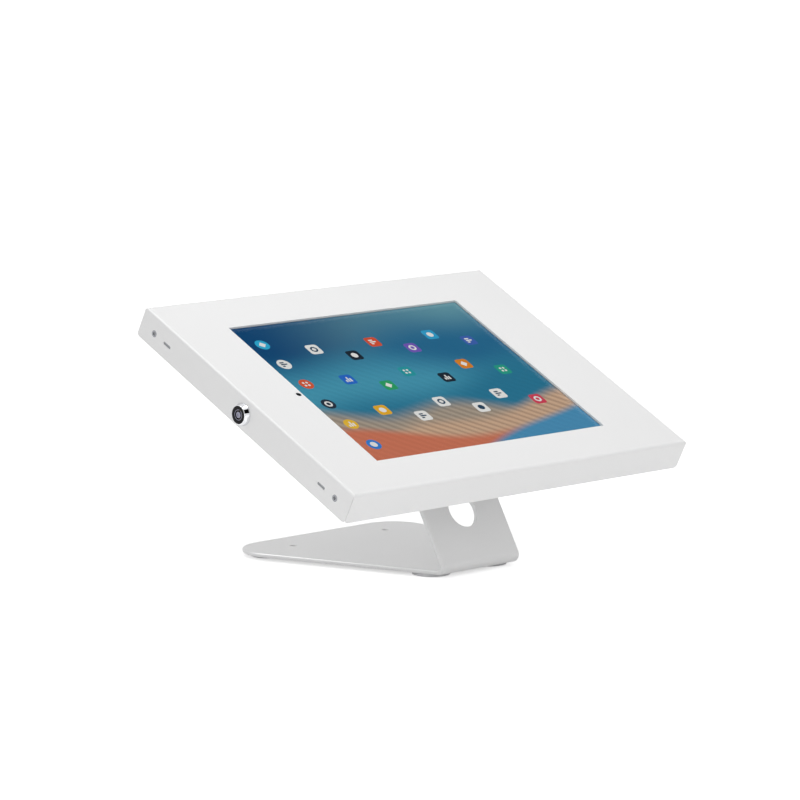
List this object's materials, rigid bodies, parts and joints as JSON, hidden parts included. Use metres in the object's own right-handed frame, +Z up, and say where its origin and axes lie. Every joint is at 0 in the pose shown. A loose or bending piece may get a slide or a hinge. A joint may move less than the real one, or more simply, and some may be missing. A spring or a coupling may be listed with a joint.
{
  "type": "tablet security kiosk stand",
  "caption": "Locking white steel enclosure that holds a tablet behind a window, tilted on a bent plate counter stand with a hinged cover, cam lock and cable hole.",
  "frame": {"origin": "on the underside of the base, midway between the two counter screw holes near its back", "axes": "+X to the user's right along the wide side of the screen, +Y to the back, +Z up"},
  "size_m": [0.2925, 0.1915, 0.1625],
  "materials": {
    "white_coat": "fine-textured white powder coat",
    "rubber_grey": "matt",
    "zinc_plate": "bright zinc plate",
    "holder_foam": "moulded closed-cell foam",
    "pad_foam": "closed-cell foam",
    "tablet_alloy": "bead-blasted anodised",
    "display_panel": "lit picture",
    "tablet_glass": "polished",
    "camera_lens": "polished",
    "white_felt": "pressed felt",
    "lock_chrome": "polished chrome plate",
    "lock_black": "gloss",
    "lock_steel": "turned",
    "pin_brass": "drawn"
  },
  "bodies": {
    "stand": {"stand_plate": "white_coat", "rubber_feet": "rubber_grey", "stand_screws": "zinc_plate", "stand_washers": "zinc_plate", "clinch_nuts": "zinc_plate", "rear_tray": "white_coat", "lock_keeper": "zinc_plate", "keeper_rivets": "zinc_plate", "tray_hinge_front": "zinc_plate", "tray_hinge_back": "zinc_plate", "hinge_rivets": "zinc_plate", "hinge_pin_front": "zinc_plate", "hinge_pin_back": "zinc_plate", "corner_holder_front_left": "holder_foam", "corner_holder_front_right": "holder_foam", "corner_holder_back_left": "holder_foam", "corner_holder_back_right": "holder_foam", "back_pads": "pad_foam", "tablet_shell": "tablet_alloy", "tablet_display": "display_panel", "tablet_glass": "tablet_glass", "tablet_camera": "camera_lens"},
    "cover": {"front_cover": "white_coat", "window_felt": "white_felt", "lock_rail": "zinc_plate", "hinge_rail": "zinc_plate", "rail_screws": "zinc_plate", "lock_body": "lock_chrome", "lock_face_ring": "lock_black", "lock_washer": "zinc_plate", "lock_nut": "zinc_plate"},
    "lock_core": {"lock_plug": "lock_steel", "lock_pins": "pin_brass", "lock_cam": "zinc_plate", "cam_screw": "zinc_plate"}
  },
  "joints": [
    {"name": "cover_swing", "type": "hinge", "parent": "stand", "child": "cover", "pos_m": [0.1415, -0.06347, 0.09579], "axis": [0, 0.891, 0.454], "range_deg": [0, 105]},
    {"name": "lock_turn", "type": "hinge", "parent": "cover", "child": "lock_core", "pos_m": [-0.144, -0.06801, 0.1047], "axis": [1, 0, 0], "range_deg": [0, 90]}
  ]
}
